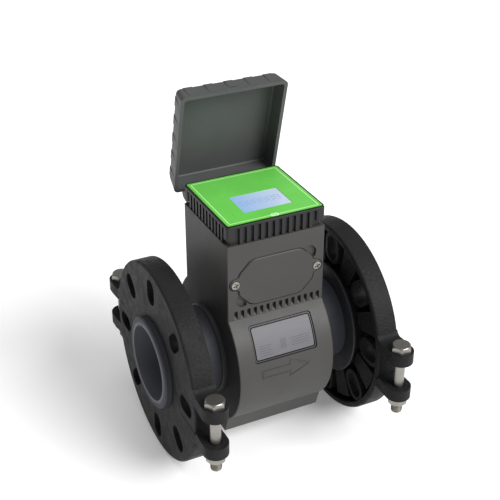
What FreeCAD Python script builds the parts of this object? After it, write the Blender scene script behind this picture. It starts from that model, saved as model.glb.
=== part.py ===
"""Electromagnetic flow meter with split clamp flanges and a hinged display lid.

The frame stands on the pipe axis at mid-length: +X is the flow direction, +Y the back, +Z up.
All sizes are in millimetres. Each piece is one solid in a STEP file of its own.
"""
import math
import os

import FreeCAD
import Part

V = FreeCAD.Vector
ORIGIN = V(0, 0, 0)
X_AXIS = V(1, 0, 0)
Y_AXIS = V(0, 1, 0)
Z_AXIS = V(0, 0, 1)
SIDES = (("left", -1), ("right", 1))
ENDS = (("front", -1), ("rear", 1))

# Flow tube
LENGTH = 225.0            # end to end, as a DN 80 meter
BORE_R = 37.0
LINER_R = 40.0
NECK_R = 42.0
PIPE_END_R = 45.2         # grooved pipe end, 3 inch
COLLAR_R = 58.6           # disc on the neck, in front of the flange's recess
COLLAR_X = (80.4, 83.4)
GROOVE_X = (94.6, 101.4)
GROOVE_R = 43.0
END_CHAMFER = 1.4
SPOT_FACE_Y = 41.2        # flats on the neck that the electrodes seat on
ELECTRODE_R = 3.0
ELECTRODE_COLLAR_R = 5.5
ELECTRODE_STUD_R = 2.0

# Magnet round the tube, inside the drum
SHOE_R = 45.0
SHOE_HALF_Y = 30.0
CORE_R = 9.0
YOKE_R = (61.5, 64.5)
YOKE_HALF_X = 14.0
MAGNET_HALF_X = 26.0
COIL_HALF = (24.0, 15.0)
COIL_TOP = 57.1

# Split flanges
FLANGE_R = 99.0
FLANGE_X = (83.7, 106.0)
FACE_PLATE_X = 97.5       # back of the face plate, inside the recess
HUB_R = (45.6, 53.0)
RIM_INNER_R = 93.0
KEY_X = (95.0, 101.0)
KEY_R = 43.3
SLOT_R = (64.0, 90.0)     # radial reach of a flange bolt slot
SLOT_W = 17.0             # takes M16 bolts
SLOT_COUNT = 8
PAD_TOP_X = 86.0
PAD_W = 25.0
BLOCK_R = (57.0, 88.5)    # blocks of material between the slots, clear of hub and rim
BLOCK_HALF_ANGLE = 8.5
STEP_Y = 62.0             # where the joint between the halves leaves the middle
STEP_Z = 17.0             # how far the tongue reaches past the middle
HALF_GAP = 0.6

# Clamp bolts, M10 x 70
BOLT_X = 95.0
BOLT_Y = 118.0
LUG_Z = (14.0, 26.0)
LUG_R = 12.0
LUG_FLARE_R = 6.0
LUG_HOLE_R = 5.7
BOLT_SHANK_R = 4.95
HEX_AF = 17.0
HEAD_H = 6.4
NUT_H = 8.0
BOLT_TIP_Z = -45.0

# Housing
HOUSING_X = 49.5
DRUM_R = 73.1
WALL = 3.0
TOWER_Y = (-47.1, 49.6)
TOWER_TOP = 134.4
TOWER_CORNER = 1.2
FOOT_X = 50.6
FOOT_Y = 40.3
FOOT_Z = -75.0
FOOT_ROOT_Z = -51.0

# Terminal cover on the tower's front
COVER_Z = (68.8, 116.5)
COVER_T = 2.6
COVER_SINK = 1.6          # how deep the cover sits in the front wall
COVER_GROOVE = 0.7        # gap round the cover
COVER_SCREW_X = 41.8
COVER_SCREW_Z = 94.0
COVER_SCREW_R = 4.3
COVER_SCREW_DEPTH = 10.0
COVER_EAR_R = 5.6
COUNTERBORE = 1.1
POCKET_DEPTH = 3.2
ROOM_X = 28.0             # opening behind the cover
ROOM_Z = (76.0, 110.0)
ROOM_BACK_Y = -26.0
ROOM_WALL = 2.5
GASKET_MARGIN = 3.0
GASKET_T = 1.2
VENT_COUNT = 14
VENT_PITCH = 6.55
VENT_W = 3.5
VENT_SHIFT = 1.4
VENT_Z = (56.3, 59.8, 65.2)   # sill at the wall, sill at the back, lintel
VENT_DEPTH = 4.0

# Display head
BEZEL_TOP = 153.5
BEZEL_STRIP_Z = 151.2
BEZEL_CORNER = 3.5
BEZEL_INSET = 2.8
BEZEL_WALL = 2.5
CORNER_BLOCK = 8.9
CORNER_BLOCK_Z = 140.3
FIN_PITCH = 7.0
FIN_W = 3.2
FIN_COUNT = 11
FACE_TOP = 154.3
FACE_X = 48.8
FACE_Y = (-46.6, 48.9)
FACE_CORNER = 3.2
LCD_X = (-23.0, 25.5)
LCD_Y = (-28.0, 5.5)
LCD_MARGIN = 5.0
BOARD_T = 1.6

# Name plate on the drum's front
PLATE_HALF_X = 30.0
PLATE_ANGLES = (17.0, 41.0)
PLATE_CORNER = 2.0
PLATE_R = (71.5, 72.15)
PLATE_POCKET = (0.6, 0.5)     # gap round the plate, along the drum and round it in degrees
RECESS_HALF_X = 32.5
RECESS_ANGLES = (14.5, 43.5)
RECESS_CORNER = 3.0
RECESS_R = 72.1

# Battery pack, on a shelf in the tower
BATTERY_Z = (74.0, 134.0)

# Lid, drawn closed and then swung open
LID_X = 54.0
LID_Y = (-55.1, 54.3)
LID_RIM_Z = 137.0
LID_TOP_Z = 157.5
LID_CEILING_Z = 155.2
LID_WALL = 3.5
LID_DRAFT = 2.8           # how far the outer walls lean in between rim and roof
LID_ROOM_DRAFT = 0.7
LID_CORNER = 5.0
LID_ROOF_ROUND = 4.5
LID_RIB_H = 0.8           # raised bands, highest at the roof
LID_RIB_W = 8.4
LID_RIB_PITCH = 20.2
LID_RIB_START_Z = 139.5
GRIP_R = 26.0             # finger recess in the middle of the front rim
GRIP_DEPTH = 1.4
GRIP_TOP_Z = 143.0
HINGE_Y = 60.5
HINGE_Z = 131.7
LID_OPEN = 75.7
BARREL_R = 4.5
HINGE_PIN_R = 1.75
HINGE_FIT = 0.05
LID_KNUCKLES = ((-42.0, -30.3), (-11.0, 11.0), (30.3, 42.0))
HOUSING_KNUCKLES = ((-30.0, -11.3), (11.3, 30.0))


def box(x0, x1, y0, y1, z0, z1):
    return Part.makeBox(x1 - x0, y1 - y0, z1 - z0, V(x0, y0, z0))


def rod(radius, start, end):
    start, end = V(*start), V(*end)
    return Part.makeCylinder(radius, (end - start).Length, start, end - start)


def cone(radius_start, radius_end, start, end):
    start, end = V(*start), V(*end)
    return Part.makeCone(radius_start, radius_end, (end - start).Length, start, end - start)


def ring_x(outer, inner, x0, x1):
    return rod(outer, (x0, 0, 0), (x1, 0, 0)).cut(rod(inner, (x0 - 1, 0, 0), (x1 + 1, 0, 0)))


def in_xy(z):
    return lambda p: V(p.x, p.y, z)


def in_xz(y):
    return lambda p: V(p.x, y, p.y)


def in_yz(x):
    return lambda p: V(x, p.x, p.y)


def outline(corners, place):
    """Flat face inside a closed outline. A corner is (u, v) or (u, v, radius)."""
    count = len(corners)
    points = [V(corner[0], corner[1], 0) for corner in corners]
    turns = []
    for i, corner in enumerate(corners):
        point = points[i]
        if len(corner) < 3:
            turns.append((point, None, point))
            continue
        back = (points[i - 1] - point).normalize()
        ahead = (points[(i + 1) % count] - point).normalize()
        half_angle = back.getAngle(ahead) / 2
        radius = corner[2]
        reach = radius / math.tan(half_angle)
        centre = point + (back + ahead).normalize() * (radius / math.sin(half_angle))
        middle = centre + (point - centre).normalize() * radius
        turns.append((point + back * reach, middle, point + ahead * reach))
    edges = []
    for i, (start, middle, end) in enumerate(turns):
        following = turns[(i + 1) % count][0]
        if middle is not None:
            edges.append(Part.Arc(place(start), place(middle), place(end)).toShape())
        if (following - end).Length > 1e-6:
            edges.append(Part.LineSegment(place(end), place(following)).toShape())
    return Part.Face(Part.Wire(edges))


def slab(corners, place, depth):
    return outline(corners, place).extrude(depth)


def rounded_box(x0, x1, y0, y1, z0, z1, radius):
    """Upright box with rounded vertical edges."""
    corners = [(x0, y0, radius), (x1, y0, radius), (x1, y1, radius), (x0, y1, radius)]
    return slab(corners, in_xy(z0), V(0, 0, z1 - z0))


def turned(profile):
    """Solid of revolution about the pipe axis of a closed (x, r) outline."""
    return outline(profile, in_xz(0)).revolve(ORIGIN, X_AXIS, 360)


def hexagon(across_flats, centre_x, centre_y, z0, z1):
    reach = across_flats / math.sqrt(3)
    corners = []
    for i in range(6):
        angle = math.radians(60 * i)
        corners.append((centre_x + reach * math.cos(angle), centre_y + reach * math.sin(angle)))
    return slab(corners, in_xy(z0), V(0, 0, z1 - z0))


def mirrored(corners):
    """An outline from its right half, listed from the bottom up."""
    left = [(-corner[0],) + tuple(corner[1:]) for corner in reversed(corners)]
    return corners + left


def union(shapes):
    return shapes[0].multiFuse(shapes[1:]).removeSplitter()


def at_side(shape, side):
    """A piece drawn for the right end, mirrored for the left one."""
    return shape if side > 0 else shape.mirror(ORIGIN, X_AXIS)


def round_edges(shape, radius, chosen):
    return shape.makeFillet(radius, [edge for edge in shape.Edges if chosen(edge)])


# ---------------------------------------------------------------- flow tube

def measuring_tube():
    """Neck with a grooved, thicker end at each side and two flats for the electrodes."""
    half = LENGTH / 2
    right = [
        (half, LINER_R),
        (half, PIPE_END_R - END_CHAMFER),
        (half - END_CHAMFER, PIPE_END_R),
        (GROOVE_X[1], PIPE_END_R),
        (GROOVE_X[1], GROOVE_R),
        (GROOVE_X[0], GROOVE_R),
        (GROOVE_X[0], PIPE_END_R),
        (COLLAR_X[1], PIPE_END_R),
        (COLLAR_X[1], NECK_R),
    ]
    tube = turned(mirrored(right))
    for _, end in ENDS:
        outside = end * (PIPE_END_R + 5)
        tube = tube.cut(rod(ELECTRODE_COLLAR_R + 1.5, (0, end * SPOT_FACE_Y, 0),
                            (0, outside, 0)))
        tube = tube.cut(rod(ELECTRODE_R, (0, end * BORE_R, 0), (0, outside, 0)))
    return tube


def collar(side):
    """Disc on the neck, against the shoulder of the pipe's end."""
    x0, x1 = COLLAR_X
    fit_r = NECK_R + 0.02
    return at_side(turned([(x0, fit_r), (x0, COLLAR_R, 1.2), (x1, COLLAR_R, 1.2),
                           (x1, fit_r)]), side)


def tube_liner():
    liner = ring_x(LINER_R, BORE_R, -LENGTH / 2, LENGTH / 2)
    return liner.cut(rod(ELECTRODE_R, (0, -PIPE_END_R, 0), (0, PIPE_END_R, 0)))


def electrode(end):
    """Pin through the liner and the tube, seated by its collar on the tube's flat."""
    head_y = SPOT_FACE_Y + 3
    tip = rod(ELECTRODE_R, (0, end * (BORE_R + 0.2), 0), (0, end * SPOT_FACE_Y, 0))
    head = rod(ELECTRODE_COLLAR_R, (0, end * SPOT_FACE_Y, 0), (0, end * head_y, 0))
    stud = rod(ELECTRODE_STUD_R, (0, end * head_y, 0), (0, end * (head_y + 8), 0))
    return union([tip, head, stud])


# ---------------------------------------------------------------- magnet

def pole_shoe(level):
    """Saddle on the tube with the core that the coil sits on."""
    saddle = ring_x(SHOE_R, NECK_R + 0.05, -MAGNET_HALF_X, MAGNET_HALF_X)
    saddle = saddle.common(box(-MAGNET_HALF_X, MAGNET_HALF_X, -SHOE_HALF_Y, SHOE_HALF_Y,
                               0, SHOE_R))
    core = rod(CORE_R, (0, 0, NECK_R), (0, 0, YOKE_R[0] - 0.8))
    core = core.cut(rod(NECK_R + 1, (-CORE_R, 0, 0), (CORE_R, 0, 0)))
    shoe = union([saddle, core])
    return shoe if level > 0 else shoe.rotate(ORIGIN, X_AXIS, 180)


def coil(level):
    """Wound oval coil round the core, resting on the saddle."""
    half_x, half_y = COIL_HALF
    base_z = SHOE_R + 0.1
    winding = rounded_box(-half_x, half_x, -half_y, half_y, base_z, COIL_TOP, half_y * 0.6)
    winding = winding.cut(rod(CORE_R + 0.1, (0, 0, 0), (0, 0, COIL_TOP + 1)))
    return winding if level > 0 else winding.rotate(ORIGIN, X_AXIS, 180)


def magnet_yoke():
    """Steel hoop that closes the magnet's circuit, with a pad over each core."""
    hoop = ring_x(YOKE_R[1], YOKE_R[0], -YOKE_HALF_X, YOKE_HALF_X)
    pads = [rod(CORE_R, (0, 0, level * (YOKE_R[0] - 0.8)), (0, 0, level * (YOKE_R[1] - 1.5)))
            for level in (1, -1)]
    return union([hoop] + pads)


# ---------------------------------------------------------------- split flanges

def radial_slot(width, r0, r1, angle, x0, x1):
    """Rounded slot along a radius, extruded along the pipe axis."""
    half = width / 2
    corners = [(r0, -half, half - 0.01), (r1, -half, half - 0.01),
               (r1, half, half - 0.01), (r0, half, half - 0.01)]
    slot = slab(corners, in_yz(x0), V(x1 - x0, 0, 0))
    slot.rotate(ORIGIN, X_AXIS, angle)
    return slot


def sector(r0, r1, angle, half_angle, x0, x1):
    """Block between two radii and two angles."""
    ring = ring_x(r1, r0, x0, x1)
    far = r1 * 1.5
    edge = far * math.tan(math.radians(half_angle))
    wedge = slab([(0, 0), (far, -edge), (far, edge)], in_yz(x0), V(x1 - x0, 0, 0))
    wedge.rotate(ORIGIN, X_AXIS, angle)
    return ring.common(wedge)


def flange_blank():
    """Whole flange of the right end: face plate, hub with its key, rim, pads and slots."""
    x0, x1 = FLANGE_X
    profile = [
        (x1, HUB_R[0]),
        (x1, FLANGE_R, 2.4),
        (x0, FLANGE_R, 2.4),
        (x0, RIM_INNER_R, 0.8),
        (FACE_PLATE_X, RIM_INNER_R, 2.0),
        (FACE_PLATE_X, HUB_R[1], 2.0),
        (x0 + 0.5, HUB_R[1], 1.0),
        (x0 + 0.5, HUB_R[0]),
        (KEY_X[0], HUB_R[0]),
        (KEY_X[0], KEY_R),
        (KEY_X[1], KEY_R),
        (KEY_X[1], HUB_R[0]),
    ]
    pieces = [turned(profile)]
    pitch = 360 / SLOT_COUNT
    margin = (PAD_W - SLOT_W) / 2
    for i in range(SLOT_COUNT):
        pieces.append(radial_slot(PAD_W, SLOT_R[0] - margin, SLOT_R[1] + margin, i * pitch,
                                  PAD_TOP_X, FACE_PLATE_X + 1))
        pieces.append(sector(BLOCK_R[0], BLOCK_R[1], (i + 0.5) * pitch, BLOCK_HALF_ANGLE,
                             PAD_TOP_X + 1.5, FACE_PLATE_X + 1))
    flange = union(pieces)
    for i in range(SLOT_COUNT):
        flange = flange.cut(radial_slot(SLOT_W, SLOT_R[0], SLOT_R[1], i * pitch,
                                        x0 - 1, x1 + 1))
    return flange


def lug(end):
    """Upper clamp lug: a flat ear with a round end that flares up into the rim."""
    z0, z1 = LUG_Z
    x0, x1 = FLANGE_X
    root_y = RIM_INNER_R - 3
    tip_y = BOLT_Y + LUG_R
    rim = FLANGE_R - 0.1
    flare_z = z1 + LUG_FLARE_R
    flare_y = math.sqrt((rim + LUG_FLARE_R) ** 2 - flare_z ** 2)
    meet_y = flare_y * rim / (rim + LUG_FLARE_R)
    meet_z = flare_z * rim / (rim + LUG_FLARE_R)
    corner_y = meet_y + (meet_z - z1) * flare_z / flare_y
    side_view = [(root_y, z0), (tip_y + 1, z0), (tip_y + 1, z1), (corner_y, z1, LUG_FLARE_R),
                 (meet_y, meet_z), (root_y, meet_z)]
    ear = slab(side_view, in_yz(x0 - 2), V(x1 - x0 + 4, 0, 0))
    taper_y = BOLT_Y - LUG_R / 2
    plan = [(x0, root_y - 1), (x1, root_y - 1), (x1, FLANGE_R),
            (BOLT_X + LUG_R, taper_y), (BOLT_X + LUG_R, tip_y, LUG_R - 0.02),
            (BOLT_X - LUG_R, tip_y, LUG_R - 0.02), (BOLT_X - LUG_R, taper_y), (x0, FLANGE_R)]
    ear = ear.common(slab(plan, in_xy(z0 - 1), V(0, 0, meet_z - z0 + 2)))
    ear = ear.cut(rod(LUG_HOLE_R, (BOLT_X, BOLT_Y, z0 - 1), (BOLT_X, BOLT_Y, z1 + 1)))
    return ear if end > 0 else ear.mirror(ORIGIN, Y_AXIS)


def upper_half_space():
    """Everything above the joint, which steps down at the front and up at the back."""
    far = 150.0
    gap = HALF_GAP / 2
    corners = [(-far, -STEP_Z + gap), (-STEP_Y - gap, -STEP_Z + gap), (-STEP_Y - gap, gap),
               (STEP_Y - gap, gap), (STEP_Y - gap, STEP_Z + gap), (far, STEP_Z + gap),
               (far, far), (-far, far)]
    return slab(corners, in_yz(-far), V(2 * far, 0, 0))


def flange_half(side, level):
    """Half flange with its two lugs; the lower half is the upper one turned about the pipe."""
    body = flange_blank().common(upper_half_space())
    keep_outside = rod(RIM_INNER_R + 1, (0, 0, 0), (200, 0, 0))
    below_tongue = box(0, 200, RIM_INNER_R - 20, FLANGE_R + 0.3, -1, STEP_Z + HALF_GAP / 2)
    lugs = [lug(end).cut(keep_outside) for end in (-1, 1)]
    lugs[1] = lugs[1].cut(below_tongue)
    half = union([body] + lugs)
    if level < 0:
        half.rotate(ORIGIN, X_AXIS, 180)
    return at_side(half, side)


# ---------------------------------------------------------------- clamp bolts

def clamp_bolt(side, end):
    x, y = side * BOLT_X, end * BOLT_Y
    seat = LUG_Z[1]
    head = hexagon(HEX_AF, x, y, seat, seat + HEAD_H)
    head = head.common(cone(HEX_AF / 2 + 5, HEX_AF / 2 - 0.4, (x, y, seat),
                            (x, y, seat + HEAD_H + 0.01)))
    shank = rod(BOLT_SHANK_R, (x, y, BOLT_TIP_Z), (x, y, seat))
    point = cone(BOLT_SHANK_R - 1, BOLT_SHANK_R + 0.2, (x, y, BOLT_TIP_Z),
                 (x, y, BOLT_TIP_Z + 1.2))
    sleeve = rod(BOLT_SHANK_R, (x, y, BOLT_TIP_Z + 1.2), (x, y, seat))
    return union([head, shank.common(union([point, sleeve]))])


def clamp_nut(side, end):
    x, y = side * BOLT_X, end * BOLT_Y
    top = -LUG_Z[1]
    nut = hexagon(HEX_AF, x, y, top - NUT_H, top)
    nut = nut.common(cone(HEX_AF / 2 - 0.4, HEX_AF / 2 + 6, (x, y, top - NUT_H - 0.01),
                          (x, y, top)))
    return nut.cut(rod(BOLT_SHANK_R + 0.05, (x, y, top - NUT_H - 1), (x, y, top + 1)))


# ---------------------------------------------------------------- housing

def cover_solid(clearance, y_front, y_back):
    """Barrel-shaped plate with an ear for the screw at each side."""
    middle_z = (COVER_Z[0] + COVER_Z[1]) / 2
    half_h = (COVER_Z[1] - COVER_Z[0]) / 2 + clearance
    body = [(25 + clearance, -half_h, 12), (38.5 + clearance, -half_h + 13.5, 9),
            (38.5 + clearance, half_h - 13.5, 9), (25 + clearance, half_h, 12)]
    plate = [(x, z + middle_z, radius) for x, z, radius in mirrored(body)]
    depth = V(0, y_back - y_front, 0)
    ear = COVER_EAR_R + clearance
    parts = [slab(plate, in_xz(y_front), depth)]
    for _, side in SIDES:
        x = side * COVER_SCREW_X
        root_x = side * (COVER_SCREW_X - 9)
        parts.append(rod(ear, (x, y_front, COVER_SCREW_Z), (x, y_back, COVER_SCREW_Z)))
        web = [(root_x, COVER_SCREW_Z - ear - 4), (x, COVER_SCREW_Z - ear),
               (x, COVER_SCREW_Z + ear), (root_x, COVER_SCREW_Z + ear + 4)]
        parts.append(slab(web, in_xz(y_front), depth))
    return union(parts)


def compartment(margin, y_front, y_back):
    """Opening behind the terminal cover, grown by a margin."""
    corner = 5 + margin
    x = ROOM_X + margin
    z0, z1 = ROOM_Z[0] - margin, ROOM_Z[1] + margin
    corners = [(-x, z0, corner), (x, z0, corner), (x, z1, corner), (-x, z1, corner)]
    return slab(corners, in_xz(y_front), V(0, y_back - y_front, 0))


def drum_and_tower():
    drum = rod(DRUM_R, (-HOUSING_X, 0, 0), (HOUSING_X, 0, 0))
    drum = round_edges(drum, 1.2, lambda edge: edge.Length > 300)
    tower = rounded_box(-HOUSING_X, HOUSING_X, TOWER_Y[0], TOWER_Y[1], 20, TOWER_TOP,
                        TOWER_CORNER)
    foot_corners = [(-FOOT_Y, FOOT_Z, 2), (FOOT_Y, FOOT_Z, 2), (FOOT_Y + 8, FOOT_ROOT_Z),
                    (-FOOT_Y - 8, FOOT_ROOT_Z)]
    foot = slab(foot_corners, in_yz(-FOOT_X), V(2 * FOOT_X, 0, 0))
    outer = union([drum, tower, foot])
    inside_x = HOUSING_X - WALL
    drum_room = rod(DRUM_R - WALL - 0.6, (-inside_x, 0, 0), (inside_x, 0, 0))
    tower_room = box(-inside_x, inside_x, TOWER_Y[0] + WALL, TOWER_Y[1] - WALL, 0,
                     TOWER_TOP + 5)
    return outer.cut(union([drum_room, tower_room]))


def vents():
    """Row of drain slots under the cover, each with a sloping sill."""
    y = TOWER_Y[0]
    sill, slot_bottom, slot_top = VENT_Z
    back = y + VENT_DEPTH
    cuts = []
    for i in range(VENT_COUNT):
        x = (i - (VENT_COUNT - 1) / 2) * VENT_PITCH + VENT_SHIFT - VENT_W / 2
        profile = [(y - 1, sill), (y + 0.2, sill), (back, slot_bottom), (back, slot_top),
                   (y - 1, slot_top)]
        cuts.append(slab(profile, in_yz(x), V(VENT_W, 0, 0)))
    return cuts


def corner_pocket(turn):
    """Finger pocket at the cover's edge, so that the cover can be lifted."""
    middle_z = (COVER_Z[0] + COVER_Z[1]) / 2
    corners = [(30.5, 20.5, 1), (30.5, 23.5, 1.5), (37, 24, 3.5), (41.4, 18.5, 3.5),
               (40.2, 11.5, 1), (36.5, 11.5, 1)]
    return slab([(x * turn, middle_z + z * turn, radius) for x, z, radius in corners],
                in_xz(TOWER_Y[0] - 1), V(0, 1 + POCKET_DEPTH, 0))


def drum_band(half_x, angles, corner, r0, r1):
    """Rounded piece of a thin ring on the drum's front, between two angles above level."""
    middle = sum(angles) / 2
    half_h = DRUM_R * math.sin(math.radians(angles[1] - angles[0]) / 2)
    pad = slab([(-half_x, -half_h, corner), (half_x, -half_h, corner),
                (half_x, half_h, corner), (-half_x, half_h, corner)], in_xz(0),
               V(0, -DRUM_R - 10, 0))
    pad.rotate(ORIGIN, X_AXIS, -middle)
    return ring_x(r1, r0, -half_x - 1, half_x + 1).common(pad)


def housing():
    shell = drum_and_tower()
    y = TOWER_Y[0]
    tub = compartment(ROOM_WALL, y + 1, ROOM_BACK_Y)
    shelf = box(-HOUSING_X + 1, HOUSING_X - 1, 6, TOWER_Y[1] - 1, BATTERY_Z[0] - WALL,
                BATTERY_Z[0])
    screw_posts = [rod(4.5, (side * COVER_SCREW_X, y + 1, COVER_SCREW_Z),
                       (side * COVER_SCREW_X, y + 12, COVER_SCREW_Z)) for _, side in SIDES]
    sill_bar = box(-HOUSING_X + 1, HOUSING_X - 1, y + 1, y + VENT_DEPTH + 2, 50, 67)
    knuckles = [hinge_knuckle(x0, x1) for x0, x1 in HOUSING_KNUCKLES]
    body = union([shell, tub, shelf, sill_bar] + screw_posts + knuckles)
    sunk = y + COVER_SINK
    plate_gap, plate_turn = PLATE_POCKET
    cuts = [compartment(0, y - 1, ROOM_BACK_Y - ROOM_WALL),
            cover_solid(COVER_GROOVE, y - 1, sunk),
            compartment(GASKET_MARGIN, y, sunk + GASKET_T),
            corner_pocket(1), corner_pocket(-1),
            rod(NECK_R + 0.3, (-FOOT_X - 1, 0, 0), (FOOT_X + 1, 0, 0)),
            drum_band(RECESS_HALF_X, RECESS_ANGLES, RECESS_CORNER, RECESS_R, DRUM_R + 5),
            drum_band(PLATE_HALF_X + plate_gap,
                      (PLATE_ANGLES[0] - plate_turn, PLATE_ANGLES[1] + plate_turn),
                      PLATE_CORNER + plate_gap, PLATE_R[0], DRUM_R),
            rod(HINGE_PIN_R, (-HOUSING_X, HINGE_Y, HINGE_Z), (HOUSING_X, HINGE_Y, HINGE_Z))]
    for _, side in SIDES:
        x = side * COVER_SCREW_X
        cuts.append(rod(2.0, (x, y - 1, COVER_SCREW_Z),
                        (x, y + COVER_SCREW_DEPTH, COVER_SCREW_Z)))
    return cut_all(body, cuts + vents())


def cut_all(shape, tools):
    for tool in tools:
        shape = shape.cut(tool)
    return shape


def hinge_knuckle(x0, x1):
    """Barrel on the tower's back wall with the web that carries it."""
    barrel = rod(BARREL_R, (x0, HINGE_Y, HINGE_Z), (x1, HINGE_Y, HINGE_Z))
    wall = TOWER_Y[1] - 1
    web = slab([(wall, HINGE_Z + 1.5), (HINGE_Y, HINGE_Z + BARREL_R),
                (HINGE_Y + 2.5, HINGE_Z - 3.6), (wall, HINGE_Z - 17)], in_yz(x0),
               V(x1 - x0, 0, 0))
    return union([barrel, web])


def neck_seal(side):
    """Ring that closes the gap between the drum's end wall and the neck."""
    ring = ring_x(NECK_R + 2.2, NECK_R + 0.02, HOUSING_X + 0.05, HOUSING_X + 4.5)
    ring = round_edges(ring, 1.5, lambda edge: edge.BoundBox.XMin > HOUSING_X + 4
                       and edge.Length > 6.2 * (NECK_R + 2))
    return at_side(ring, side)


# ---------------------------------------------------------------- front cover

def cover_gasket():
    sunk = TOWER_Y[0] + COVER_SINK
    outer = compartment(GASKET_MARGIN - 0.1, sunk, sunk + GASKET_T)
    return outer.cut(compartment(0.2, sunk - 1, sunk + GASKET_T + 1))


def terminal_cover():
    back = TOWER_Y[0] + COVER_SINK
    front = back - COVER_T
    cover = cover_solid(0, front, back)
    cover = cover.makeChamfer(0.8, [edge for edge in cover.Edges
                                    if edge.BoundBox.YMax < front + 0.01])
    for _, side in SIDES:
        x = side * COVER_SCREW_X
        cover = cover.cut(rod(2.3, (x, front - 1, COVER_SCREW_Z), (x, back + 1, COVER_SCREW_Z)))
        cover = cover.cut(rod(COVER_SCREW_R + 0.3, (x, front - 1, COVER_SCREW_Z),
                              (x, front + COUNTERBORE, COVER_SCREW_Z)))
    return cover


def cover_screw(side):
    """Screw that holds the cover, its head seated in the ear's counterbore."""
    seat = TOWER_Y[0] + COVER_SINK - COVER_T + COUNTERBORE
    x = side * COVER_SCREW_X
    top = seat - 2.0
    head = rod(COVER_SCREW_R, (x, top, COVER_SCREW_Z), (x, seat, COVER_SCREW_Z))
    head = round_edges(head, 1.0, lambda edge: edge.BoundBox.YMax < top + 0.1)
    shank = rod(1.95, (x, seat, COVER_SCREW_Z),
                (x, TOWER_Y[0] + COVER_SCREW_DEPTH - 0.5, COVER_SCREW_Z))
    return union([head, shank])


def terminal_block():
    half_x = 22.0
    back = ROOM_BACK_Y - ROOM_WALL
    low, high = COVER_SCREW_Z - 9, COVER_SCREW_Z + 9
    block = box(-half_x, half_x, back - 9, back, low, high)
    pitch = 7.0
    for i in range(6):
        x = (i - 2.5) * pitch
        block = block.cut(rod(2.2, (x, back - 10, COVER_SCREW_Z), (x, back - 3, COVER_SCREW_Z)))
    return block


# ---------------------------------------------------------------- electronics

def battery_pack():
    """Two cells side by side, joined by a clip."""
    cell_r = 16.5
    cell_x, cell_y = cell_r + 1.5, TOWER_Y[1] - WALL - cell_r - 4
    low, high = BATTERY_Z
    cells = [rod(cell_r, (side * cell_x, cell_y, low), (side * cell_x, cell_y, high))
             for _, side in SIDES]
    clip = box(-cell_x, cell_x, cell_y - 8, cell_y + 8, low + 4, high - 6)
    return union(cells + [clip])


def circuit_board():
    return box(-40, 40, -38, 40, BEZEL_STRIP_Z - BOARD_T, BEZEL_STRIP_Z)


def lcd_module():
    """Display on the board, with its glass standing up into the face plate's window."""
    margin = LCD_MARGIN
    base = box(LCD_X[0] - margin, LCD_X[1] + margin, LCD_Y[0] - margin, LCD_Y[1] + margin,
               BEZEL_STRIP_Z, BEZEL_TOP - 0.1)
    glass = box(LCD_X[0] + 0.1, LCD_X[1] - 0.1, LCD_Y[0] + 0.1, LCD_Y[1] - 0.1,
                BEZEL_TOP - 0.5, FACE_TOP - 0.3)
    return union([base, glass])


# ---------------------------------------------------------------- display head

def display_bezel():
    """Ribbed crown of the tower: a set-back wall, upright fins, corner blocks and a rim."""
    x = HOUSING_X - 0.2
    y0, y1 = TOWER_Y[0] + 0.2, TOWER_Y[1] - 0.2
    inset = BEZEL_INSET
    strip = rounded_box(-x, x, y0, y1, BEZEL_STRIP_Z, BEZEL_TOP, BEZEL_CORNER)
    strip = round_edges(strip, 0.6, lambda edge: edge.BoundBox.ZMin > BEZEL_TOP - 0.01)
    wall = rounded_box(-x + inset, x - inset, y0 + inset, y1 - inset, TOWER_TOP,
                       BEZEL_STRIP_Z + 1, 2)
    parts = [strip, wall]
    for cx in (-x, x - CORNER_BLOCK):
        for cy in (y0, y1 - CORNER_BLOCK):
            parts.append(rounded_box(cx, cx + CORNER_BLOCK, cy, cy + CORNER_BLOCK,
                                     CORNER_BLOCK_Z, BEZEL_TOP - 1, 2.5))
    middle_y = (y0 + y1) / 2
    for i in range(FIN_COUNT):
        step = (i - (FIN_COUNT - 1) / 2) * FIN_PITCH
        parts.append(box(step - FIN_W / 2, step + FIN_W / 2, y0 + 0.5, y1 - 0.5,
                         TOWER_TOP, BEZEL_STRIP_Z + 1))
        parts.append(box(-x + 0.5, x - 0.5, middle_y + step - FIN_W / 2,
                         middle_y + step + FIN_W / 2, TOWER_TOP, BEZEL_STRIP_Z + 1))
    crown = union(parts)
    inset += BEZEL_WALL
    room = box(-x + inset, x - inset, y0 + inset, y1 - inset, TOWER_TOP - 1, BEZEL_STRIP_Z)
    margin = LCD_MARGIN + 0.2
    window = box(LCD_X[0] - margin, LCD_X[1] + margin, LCD_Y[0] - margin, LCD_Y[1] + margin,
                 BEZEL_STRIP_Z - 1, BEZEL_TOP + 1)
    return crown.cut(room).cut(window)


def display_faceplate():
    plate = rounded_box(-FACE_X, FACE_X, FACE_Y[0], FACE_Y[1], BEZEL_TOP, FACE_TOP,
                        FACE_CORNER)
    return plate.cut(box(LCD_X[0], LCD_X[1], LCD_Y[0], LCD_Y[1], BEZEL_TOP - 1, FACE_TOP + 1))


def name_plate():
    return drum_band(PLATE_HALF_X, PLATE_ANGLES, PLATE_CORNER, PLATE_R[0], PLATE_R[1])


# ---------------------------------------------------------------- lid

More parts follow.
